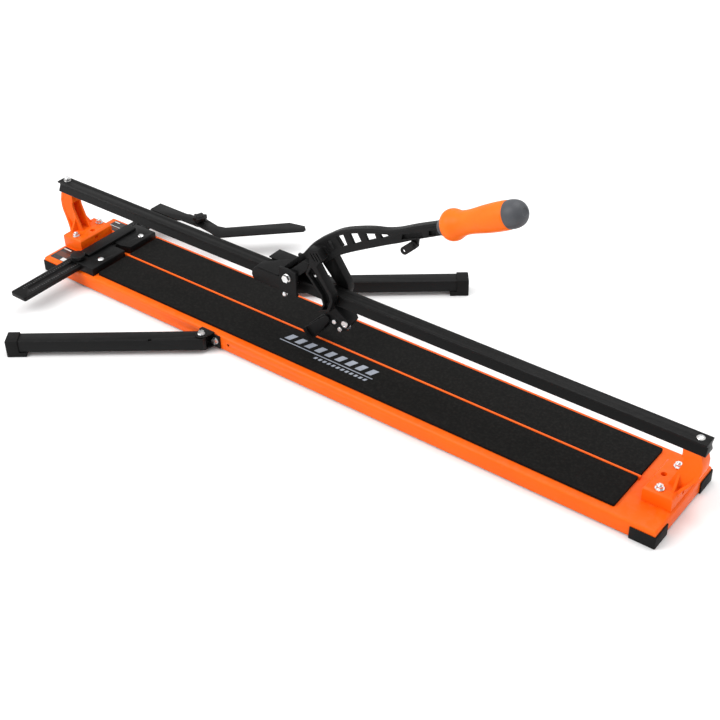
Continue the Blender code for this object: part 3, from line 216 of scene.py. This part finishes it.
def finish_of(name, colour, colour_drift, gloss, metallic=0.0, specular=0.5, stretch=(1, 1, 1),
              grain=(900.0, 14.0, 3.0), bump=(0.15, 0.0002), wear_and_highlight=None, dust=None):
    """A coated, moulded or plated surface.

    colour and colour_drift are its two shades, gloss its lowest and highest roughness, grain the fine and
    slow noise scales and detail, bump a strength and depth, wear (colour, radius, breakup, amount) for the
    lighter sharp edges, rubbed coating with a painted edge highlight, and dust (colour, scale, amount).
    """
    material = bpy.data.materials.new(name)
    material.use_nodes = True
    tree = material.node_tree
    shader = tree.nodes["Principled BSDF"]
    shader.inputs["Specular IOR Level"].default_value = specular
    link = tree.links.new
    place = node(tree, "ShaderNodeTexCoord")
    mapping = node(tree, "ShaderNodeMapping")
    mapping.inputs["Scale"].default_value = stretch
    link(place.outputs["Object"], mapping.inputs["Vector"])
    vector = mapping.outputs["Vector"]
    texture = placed_group(tree, SURFACE_GRAIN, vector, Fine=grain[0], Slow=grain[1], Detail=grain[2])
    tone = mixed(tree, texture.outputs["Drift"], colour, colour_drift)
    half_height = math_node(tree, "MULTIPLY", texture.outputs["Height"], 0.5)
    spread = math_node(tree, "MULTIPLY_ADD", texture.outputs["Drift"], 0.5, half_height)
    rough = ranged(tree, spread, 0.2, 0.8, gloss[0], gloss[1])
    shader.inputs["Metallic"].default_value = metallic
    # Sharp edges are lightened: rubbed coating, and a painted edge highlight
    if wear_and_highlight is not None:
        worn_and_lit, radius, breakup, amount = wear_and_highlight
        edge = placed_group(tree, EDGE_WEAR_AND_HIGHLIGHT, place.outputs["Object"], Radius=radius, Breakup=breakup)
        share = math_node(tree, "MULTIPLY", edge.outputs["Mask"], amount, clamp=True)
        tone = mixed(tree, share, tone, worn_and_lit)
        if metallic == 0.0:
            link(math_node(tree, "MULTIPLY", share, EDGE_WEAR_AND_HIGHLIGHT_METALLIC), shader.inputs["Metallic"])
    if dust is not None:
        powder, scale, amount = dust
        lying = placed_group(tree, SETTLED_DUST, place.outputs["Object"], Scale=scale, Amount=amount)
        tone = mixed(tree, lying.outputs["Mask"], tone, powder)
        matter = math_node(tree, "MULTIPLY", lying.outputs["Mask"], DUST_ROUGHENS)
        rough = math_node(tree, "ADD", rough, matter, clamp=True)
    raised = node(tree, "ShaderNodeBump", Strength=bump[0], Distance=bump[1])
    link(texture.outputs["Height"], raised.inputs["Height"])
    link(raised.outputs["Normal"], shader.inputs["Normal"])
    link(tone, shader.inputs["Base Color"])
    link(rough, shader.inputs["Roughness"])
    return material


# The wear colours below lighten sharp edges: rubbed coating, and a painted edge highlight
FINISHES = {
    "orange_powder_coat": finish_of(
        "orange_powder_coat", (0.90, 0.112, 0.002), (0.94, 0.132, 0.003), (0.32, 0.46), specular=0.16,
        grain=(620.0, 9.0, 2.0), bump=(0.22, 0.00022), wear_and_highlight=((0.80, 0.22, 0.05), 0.0010, 240.0, 0.35),
        dust=((0.80, 0.45, 0.30), 70.0, 0.06)),
    "black_rail": finish_of(
        "black_rail", (0.0028, 0.0028, 0.0028), (0.0045, 0.0045, 0.0045), (0.36, 0.54), specular=0.13,
        stretch=(0.02, 1, 1), grain=(2400.0, 40.0, 5.0), bump=(0.20, 0.00012),
        wear_and_highlight=(EDGE_STEEL_AND_HIGHLIGHT, 0.0007, 150.0, 0.22), dust=((0.10, 0.095, 0.09), 90.0, 0.06)),
    "black_cast": finish_of(
        "black_cast", (0.0028, 0.0028, 0.0029), (0.0048, 0.0048, 0.0050), (0.42, 0.62), specular=0.15,
        grain=(1500.0, 22.0, 4.0), bump=(0.42, 0.00030), wear_and_highlight=(EDGE_STEEL_AND_HIGHLIGHT, 0.0007, 210.0, 0.20),
        dust=((0.10, 0.095, 0.09), 120.0, 0.05)),
    "black_sheet": finish_of(
        "black_sheet", (0.0030, 0.0030, 0.0031), (0.0048, 0.0048, 0.0050), (0.36, 0.52), specular=0.15,
        grain=(1100.0, 16.0, 2.0), bump=(0.20, 0.00022), wear_and_highlight=(EDGE_STEEL_AND_HIGHLIGHT, 0.0007, 180.0, 0.25),
        dust=((0.10, 0.095, 0.09), 80.0, 0.05)),
    "bed_rubber": finish_of(
        "bed_rubber", (0.0040, 0.0039, 0.0037), (0.0062, 0.0060, 0.0056), (0.72, 0.92), specular=0.12,
        grain=(1900.0, 7.0, 6.0), bump=(0.60, 0.00035), dust=((0.12, 0.11, 0.10), 210.0, 0.10)),
    "guard_rubber": finish_of(
        "guard_rubber", (0.0040, 0.0040, 0.0040), (0.0064, 0.0064, 0.0064), (0.55, 0.78), specular=0.15,
        grain=(1300.0, 30.0, 5.0), bump=(0.35, 0.00030), wear_and_highlight=((0.035, 0.035, 0.035), 0.0010, 150.0, 0.6),
        dust=((0.12, 0.11, 0.10), 110.0, 0.08)),
    "zinc": finish_of(
        "zinc", (0.70, 0.71, 0.74), (0.80, 0.79, 0.76), (0.20, 0.40), metallic=1.0,
        grain=(1700.0, 160.0, 4.0), bump=(0.18, 0.00010), wear_and_highlight=((0.86, 0.86, 0.86), 0.0004, 400.0, 0.6)),
    "carbide": finish_of(
        "carbide", (0.42, 0.42, 0.44), (0.55, 0.55, 0.56), (0.16, 0.30), metallic=1.0,
        grain=(2600.0, 120.0, 5.0), bump=(0.12, 0.00006), wear_and_highlight=((0.75, 0.75, 0.76), 0.0004, 500.0, 0.6)),
    "knob_plastic": finish_of(
        "knob_plastic", (0.0036, 0.0036, 0.0038), (0.0060, 0.0060, 0.0062), (0.34, 0.50), specular=0.20,
        grain=(1600.0, 60.0, 4.0), bump=(0.30, 0.00020), wear_and_highlight=((0.05, 0.05, 0.05), 0.0008, 200.0, 0.5)),
    "grip_orange": finish_of(
        "grip_orange", (0.90, 0.138, 0.004), (0.95, 0.165, 0.006), (0.38, 0.54), specular=0.20,
        grain=(1500.0, 26.0, 5.0), bump=(0.20, 0.00018), wear_and_highlight=((0.98, 0.34, 0.12), 0.0012, 150.0, 0.4)),
    "grip_grey": finish_of(
        "grip_grey", (0.050, 0.053, 0.060), (0.066, 0.069, 0.078), (0.40, 0.58), specular=0.4,
        grain=(1500.0, 40.0, 5.0), bump=(0.30, 0.00020), wear_and_highlight=((0.15, 0.155, 0.165), 0.0012, 190.0, 0.5)),
}
PRINT_INK = finish_of(
    "print_ink", (0.30, 0.33, 0.40), (0.40, 0.43, 0.49), (0.50, 0.70), grain=(2200.0, 60.0, 7.0),
    bump=(0.30, 0.00010), dust=((0.02, 0.02, 0.02), 700.0, 0.5))
SCALE_INK = finish_of(
    "scale_ink", (0.110, 0.110, 0.113), (0.160, 0.160, 0.164), (0.45, 0.65), grain=(2200.0, 60.0, 7.0),
    bump=(0.25, 0.00010), dust=((0.02, 0.02, 0.02), 500.0, 0.6))
LABEL_BLACK = finish_of(
    "label_black", (0.012, 0.010, 0.010), (0.020, 0.017, 0.016), (0.22, 0.36), grain=(1300.0, 40.0, 3.0),
    bump=(0.10, 0.00008), dust=((0.3, 0.28, 0.26), 260.0, 0.10))
LABEL_BROWN = finish_of(
    "label_brown", (0.090, 0.022, 0.010), (0.130, 0.034, 0.014), (0.24, 0.38), grain=(1300.0, 60.0, 3.0),
    bump=(0.10, 0.00008), dust=((0.3, 0.28, 0.26), 260.0, 0.08))
LABEL_WHITE = finish_of(
    "label_white", (0.66, 0.66, 0.64), (0.78, 0.78, 0.76), (0.26, 0.40), grain=(1300.0, 60.0, 3.0),
    bump=(0.10, 0.00008), dust=((0.35, 0.33, 0.30), 200.0, 0.15))


# Modelling --------------------------------------------------------------------------------------------

SEAM = 0.00001
CAD_SEAM = 0.000005
FLAT_ANGLE = math.radians(0.5)


def only(piece):
    """Select one object and make it the active one."""
    for item in bpy.context.view_layer.objects:
        item.select_set(False)
    bpy.context.view_layer.objects.active = piece
    piece.select_set(True)


def enter(piece, mode="FACE"):
    """Open a piece in edit mode with all of it selected."""
    only(piece)
    bpy.ops.object.mode_set(mode="EDIT")
    bpy.ops.mesh.select_mode(type=mode)
    bpy.ops.mesh.select_all(action="SELECT")


def leave():
    bpy.ops.object.mode_set(mode="OBJECT")


def pick(piece, test, mode="FACE"):
    """In edit mode, select the faces (by centre and normal) or edges (by both ends) that a test picks."""
    bpy.ops.mesh.select_all(action="DESELECT")
    bpy.ops.mesh.select_mode(type=mode)
    bm = bmesh.from_edit_mesh(piece.data)
    if mode == "FACE":
        for face in bm.faces:
            face.select_set(test(face.calc_center_median(), face.normal))
    else:
        for edge in bm.edges:
            edge.select_set(test(edge.verts[0].co, edge.verts[1].co))
    bm.select_flush_mode()
    bmesh.update_edit_mesh(piece.data)


def upright(first, second):
    """Test for an edge that rises."""
    return abs(first.z - second.z) > SEAM


def settle(piece, name, body, finish, angle=40.0):
    """Name a finished piece, put its place in its mesh, shade it and let it ride on its body."""
    piece.name = name
    piece.data.name = name
    only(piece)
    bpy.ops.object.transform_apply(location=True, rotation=True, scale=True)
    bpy.ops.object.shade_smooth_by_angle(angle=math.radians(angle))
    piece.data.materials.clear()
    piece.data.materials.append(finish)
    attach(piece, body)
    return piece


def eased(name, width, segments=2, angle=30.0):
    """A copy of a CAD node whose sharp edges are rounded, which is shown in its place."""
    piece = bpy.data.objects.new(name + "_eased", frame["nodes"][name].data.copy())
    bpy.context.scene.collection.objects.link(piece)
    enter(piece)
    bpy.ops.mesh.remove_doubles(threshold=CAD_SEAM)
    bpy.ops.mesh.dissolve_limited(angle_limit=FLAT_ANGLE)
    leave()
    bevel = piece.modifiers.new("edges", "BEVEL")
    bevel.width = width
    bevel.segments = segments
    bevel.limit_method = "ANGLE"
    bevel.angle_limit = math.radians(angle)
    bevel.use_clamp_overlap = True
    bevel.miter_outer = "MITER_ARC"
    only(piece)
    bpy.ops.object.modifier_apply(modifier="edges")
    settle(piece, name + "_eased", BODY_OF[name], FINISHES[SLOT_OF[name]])
    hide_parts(name)
    return piece


def slab(low, high):
    """A box primitive between two corners, as the start of a piece."""
    centre = (Vector(low) + Vector(high)) / 2
    bpy.ops.mesh.primitive_cube_add(size=1.0, location=centre)
    piece = bpy.context.object
    piece.scale = Vector(high) - Vector(low)
    only(piece)
    bpy.ops.object.transform_apply(location=True, rotation=True, scale=True)
    return piece


def turned(profile, at, axis, segments=48):
    """Spin a profile of (radius, distance) points about an axis through a point."""
    direction = Vector(axis).normalized()
    turn = Vector((0, 0, 1)).rotation_difference(direction).to_matrix()
    mesh = bpy.data.meshes.new("turned")
    points = [Vector(at) + turn @ Vector((radius, 0, height)) for radius, height in profile]
    mesh.from_pydata(points, [(i, i + 1) for i in range(len(points) - 1)], [])
    piece = bpy.data.objects.new("turned", mesh)
    bpy.context.scene.collection.objects.link(piece)
    enter(piece, "VERT")
    bpy.ops.mesh.spin(steps=segments, angle=math.tau, center=at, axis=direction)
    bpy.ops.mesh.select_all(action="SELECT")
    bpy.ops.mesh.remove_doubles(threshold=SEAM)
    bpy.ops.mesh.normals_make_consistent(inside=False)
    leave()
    return piece


def smooth_curve(points, steps):
    """Points on a curve through drawn (x, y) points."""
    result = []
    for i in range(len(points) - 1):
        around = [Vector(points[min(max(j, 0), len(points) - 1)]) for j in (i - 1, i, i + 1, i + 2)]
        for step in range(steps):
            t = step / steps
            a, b, c, d = around
            result.append(0.5 * (2 * b + (c - a) * t + (2 * a - 5 * b + 4 * c - d) * t * t
                                 + (3 * b - a - 3 * c + d) * t ** 3))
    result.append(Vector(points[-1]))
    return [tuple(point) for point in result]


# CAD pieces with their edges rounded
EASED = {
    0.0012: ["left_end_post", "right_end_post", "front_support_arm", "rear_support_arm", "front_arm_foot",
             "rear_arm_foot", "corner_guard_left_front", "corner_guard_left_rear",
             "corner_guard_right_front", "corner_guard_right_rear"],
    0.0009: ["lever_casting", "yoke_arm_front", "yoke_arm_rear", "fence_front", "fence_rear",
             "extension_ruler", "angle_carrier", "angle_knob", "ruler_knob", "front_arm_bracket",
             "rear_arm_bracket"],
    0.0006: ["carriage_cheek_front", "carriage_cheek_rear", "carriage_cover", "wheel_holder",
             "breaker_foot", "transport_link", "angle_arm", "front_bed", "rear_bed", "fence_bar",
             "base_tray", "guide_rail"],
}
for width, names in EASED.items():
    for name in names:
        eased(name, width)

for name, cad_node in frame["nodes"].items():
    cad_node.data.materials.clear()
    cad_node.data.materials.append(FINISHES[SLOT_OF[name]])


# Grip and its cap, in millimetres from the collar's end -------------------------------------------------

COLLAR_HALF = 4.5
GRIP_GAP = 0.4
GRIP_LENGTH = 125.6
GRIP_BORE = 6.4
GRIP_SEGMENTS = 64
GRIP_RADII = (
    (0.0, 15.0), (0.012, 19.6), (0.04, 23.6), (0.085, 25.6), (0.125, 25.8), (0.165, 24.9), (0.205, 22.9),
    (0.255, 20.6), (0.31, 19.5), (0.40, 19.3), (0.50, 20.2), (0.62, 21.7), (0.74, 22.6),
    (0.86, 23.0), (0.96, 22.9), (0.985, 22.4), (1.0, 21.6))
CAP_DOME = (
    (22.3, 0), (22.3, 7), (21.2, 14), (18.6, 20.5), (14.2, 25.4), (9.2, 28.2), (7.6, 28.6), (6.6, 28.0),
    (5.4, 27.2), (0.0, 27.0))


def grip_frame():
    """Start and direction of the grip's axis, from the boxes of its collar and cap."""
    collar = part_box("grip_collar")
    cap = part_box("grip_cap")
    first = (collar[0] + collar[1]) / 2
    last = (cap[0] + cap[1]) / 2
    direction = (last - first).normalized()
    return first, direction


def grip_pieces():
    """The moulded grip and the domed cap with its dimple."""
    at, direction = grip_frame()
    start = at + direction * (COLLAR_HALF + GRIP_GAP) * MM
    outline = [(radius * MM, share * GRIP_LENGTH * MM) for share, radius in GRIP_RADII]
    profile = [(GRIP_BORE * MM, 0.0)] + smooth_curve(outline, 5) + [(GRIP_BORE * MM, GRIP_LENGTH * MM)]
    body = turned(profile + [profile[0]], start, direction, GRIP_SEGMENTS)
    settle(body, "grip_moulding", BODY_OF["grip"], FINISHES["grip_orange"])
    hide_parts("grip")
    low = GRIP_LENGTH + GRIP_GAP
    dome = [(radius * MM, (low + height) * MM) for radius, height in CAP_DOME]
    cap_profile = [(0.0, low * MM)] + smooth_curve(dome, 4)
    cap = turned(cap_profile, start, direction, GRIP_SEGMENTS)
    settle(cap, "grip_end", BODY_OF["grip_cap"], FINISHES["grip_grey"])
    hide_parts("grip_cap")


grip_pieces()


# Print, labels and scale ------------------------------------------------------------------------------

INK = 0.00012
RULE_LOW, RULE_HIGH, RULE_LEAN = (-0.100, -0.0452), (0.108, -0.0432), 0.0008
# Rows of blocks: count, first x, pitch, width, low y, high y, lean
PRINT_ROWS = (
    (9, -0.0955, 0.0228, 0.0125, -0.0375, -0.0205, 0.0065),
    (12, -0.014, 0.0099, 0.0056, -0.0560, -0.0500, 0.0022))
SCALE_INSET = 0.022
GROOVE_HALF = 0.0125
MARK_WIDTH = 0.0007
MARKS = ((0.0035, 0.005), (0.0058, 0.025))


def slanted_block(low, high, lean):
    """A thin printed block whose far edge is moved along X, with its corners eased."""
    piece = slab(low, high)
    enter(piece)
    pick(piece, lambda centre, normal: normal.y > 0.9)
    bpy.ops.transform.translate(value=(lean, 0, 0))
    pick(piece, upright, "EDGE")
    bpy.ops.mesh.bevel(offset=0.0006, segments=2)
    leave()
    return piece


def joined(pieces):
    """Join objects into the first one."""
    only(pieces[0])
    for piece in pieces[1:]:
        piece.select_set(True)
    bpy.ops.object.join()
    return pieces[0]


def bed_print():
    """Plain slanted blocks over and under a rule on the front bed."""
    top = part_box("front_bed")[1].z
    pieces = [slanted_block((*RULE_LOW, top), (*RULE_HIGH, top + INK), RULE_LEAN)]
    for count, first, pitch, width, low, high, lean in PRINT_ROWS:
        for i in range(count):
            x = first + pitch * i
            pieces.append(slanted_block((x, low, top), (x + width, high, top + INK), lean))
    settle(joined(pieces), "bed_print", "base", PRINT_INK)


def label(name, low, high, bands):
    """A printed label on the tray, with plain bands across it."""
    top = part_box("base_tray")[1].z
    plate = slab((*low, top), (*high, top + INK))
    enter(plate)
    pick(plate, upright, "EDGE")
    bpy.ops.mesh.bevel(offset=0.002, segments=3)
    leave()
    settle(plate, name, "base", LABEL_BLACK)
    for i, (band_low, band_high, finish, slot_name) in enumerate(bands):
        band = slanted_block((*band_low, top + INK), (*band_high, top + 2 * INK), 0.0)
        settle(band, name + "_band_" + str(i + 1), "base", finish)


def ruler_scale():
    """Fine and long marks along both sides of the ruler's groove."""
    low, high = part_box("extension_ruler")
    middle = (low.x + high.x) / 2
    marks = []
    first = low.y + SCALE_INSET
    for side in (-1, 1):
        start = middle + side * GROOVE_HALF
        for length, pitch in MARKS:
            count = int((high.y - low.y - 2 * SCALE_INSET) / pitch)
            near, far = sorted((start, start - side * length))
            mark = slab((near, first, high.z), (far, first + MARK_WIDTH, high.z + INK / 2))
            enter(mark)
            pick(mark, upright, "EDGE")
            bpy.ops.mesh.bevel(offset=0.0001, segments=1)
            leave()
            row = mark.modifiers.new("row", "ARRAY")
            row.count = count
            row.use_relative_offset = False
            row.use_constant_offset = True
            row.constant_offset_displace = (0, pitch, 0)
            only(mark)
            bpy.ops.object.modifier_apply(modifier="row")
            marks.append(mark)
    settle(joined(marks), "ruler_scale", BODY_OF["extension_ruler"], SCALE_INK)


bed_print()
label("label_front", (-0.6665, -0.0885), (-0.6265, -0.0450), [
    ((-0.6645, -0.0530), (-0.6440, -0.0500), LABEL_WHITE, "grip_grey"),
    ((-0.6625, -0.0760), (-0.6330, -0.0620), LABEL_BROWN, "grip_grey"),
    ((-0.6395, -0.0870), (-0.6285, -0.0770), LABEL_WHITE, "grip_grey")])
label("label_rear", (-0.6600, 0.0560), (-0.6230, 0.0880), [
    ((-0.6580, 0.0820), (-0.6440, 0.0850), LABEL_WHITE, "grip_grey"),
    ((-0.6580, 0.0690), (-0.6300, 0.0705), LABEL_WHITE, "grip_grey"),
    ((-0.6580, 0.0620), (-0.6280, 0.0660), LABEL_BROWN, "grip_grey")])
ruler_scale()


# Small bright screw -----------------------------------------------------------------------------------

def pan_screw(name, at, axis, radius, body):
    """A screw head with a rounded rim and a round recess."""
    profile = [(0.0, 0.0), (radius, 0.0), (radius, radius * 0.35), (radius * 0.8, radius * 0.6),
               (radius * 0.46, radius * 0.66), (radius * 0.42, radius * 0.3), (0.0, radius * 0.25)]
    head = turned(profile, at, axis, 24)
    settle(head, name, body, FINISHES["zinc"])


pan_screw("yoke_screw", (-0.0270, -0.0225, 0.187), (0, -1, 0), 0.0032, "lever")


# Floor, light and camera ------------------------------------------------------------------------------

FLOOR_SIZE = 90.0
FLOOR_DROP = 0.0005
FLOOR_GREY = 0.92
WORLD_STRENGTH = 0.80
CAMERA_AT = (1.21401, -1.47839, 1.39908)
CAMERA_YAW, CAMERA_PITCH, CAMERA_ROLL = map(math.radians, (38.274, 36.099, -1.453))
CAMERA_LENS = 65.652


def floor():
    """A plain pale floor just under the guards."""
    bpy.ops.mesh.primitive_plane_add(size=FLOOR_SIZE, location=(0, 0, -FLOOR_DROP))
    sheet = bpy.context.object
    sheet.name = "floor"
    paint = bpy.data.materials.new("floor_paint")
    paint.use_nodes = True
    shader = paint.node_tree.nodes["Principled BSDF"]
    shader.inputs["Base Color"].default_value = (FLOOR_GREY, FLOOR_GREY, FLOOR_GREY, 1)
    shader.inputs["Roughness"].default_value = 0.85
    shader.inputs["Specular IOR Level"].default_value = 0.1
    sheet.data.materials.append(paint)


def softbox(name, at, target, size, power):
    """A square area light that looks at a point."""
    data = bpy.data.lights.new(name, "AREA")
    data.energy = power
    data.size = size
    item = bpy.data.objects.new(name, data)
    item.location = at
    item.rotation_euler = (Vector(target) - Vector(at)).to_track_quat("-Z", "Y").to_euler()
    bpy.context.scene.collection.objects.link(item)


def world_light():
    """An even white surround."""
    world = bpy.data.worlds.new("studio")
    world.use_nodes = True
    world.node_tree.nodes["Background"].inputs["Color"].default_value = (1.0, 1.0, 1.0, 1)
    world.node_tree.nodes["Background"].inputs["Strength"].default_value = WORLD_STRENGTH
    bpy.context.scene.world = world


def camera():
    """Camera over the operator's left, looking down along the rail."""
    yaw, pitch, roll = CAMERA_YAW, CAMERA_PITCH, CAMERA_ROLL
    forward = Vector((-math.sin(yaw) * math.cos(pitch), math.cos(yaw) * math.cos(pitch), -math.sin(pitch)))
    level = Vector((math.cos(yaw), math.sin(yaw), 0))
    upright = level.cross(forward)
    right = math.cos(roll) * level + math.sin(roll) * upright
    up = -math.sin(roll) * level + math.cos(roll) * upright
    data = bpy.data.cameras.new("camera")
    data.lens = CAMERA_LENS
    data.sensor_width = 36.0
    item = bpy.data.objects.new("camera", data)
    bpy.context.scene.collection.objects.link(item)
    turn = Matrix((right, up, -forward)).transposed().to_4x4()
    item.matrix_world = Matrix.Translation(CAMERA_AT) @ turn
    bpy.context.scene.camera = item


floor()
world_light()
softbox("key_light", (-1.6, -2.2, 2.6), (0, 0, 0), 2.2, 75.0)
softbox("top_light", (0.4, 0.9, 2.8), (0, 0, 0), 2.4, 45.0)
camera()
bpy.context.scene.view_settings.view_transform = "Standard"
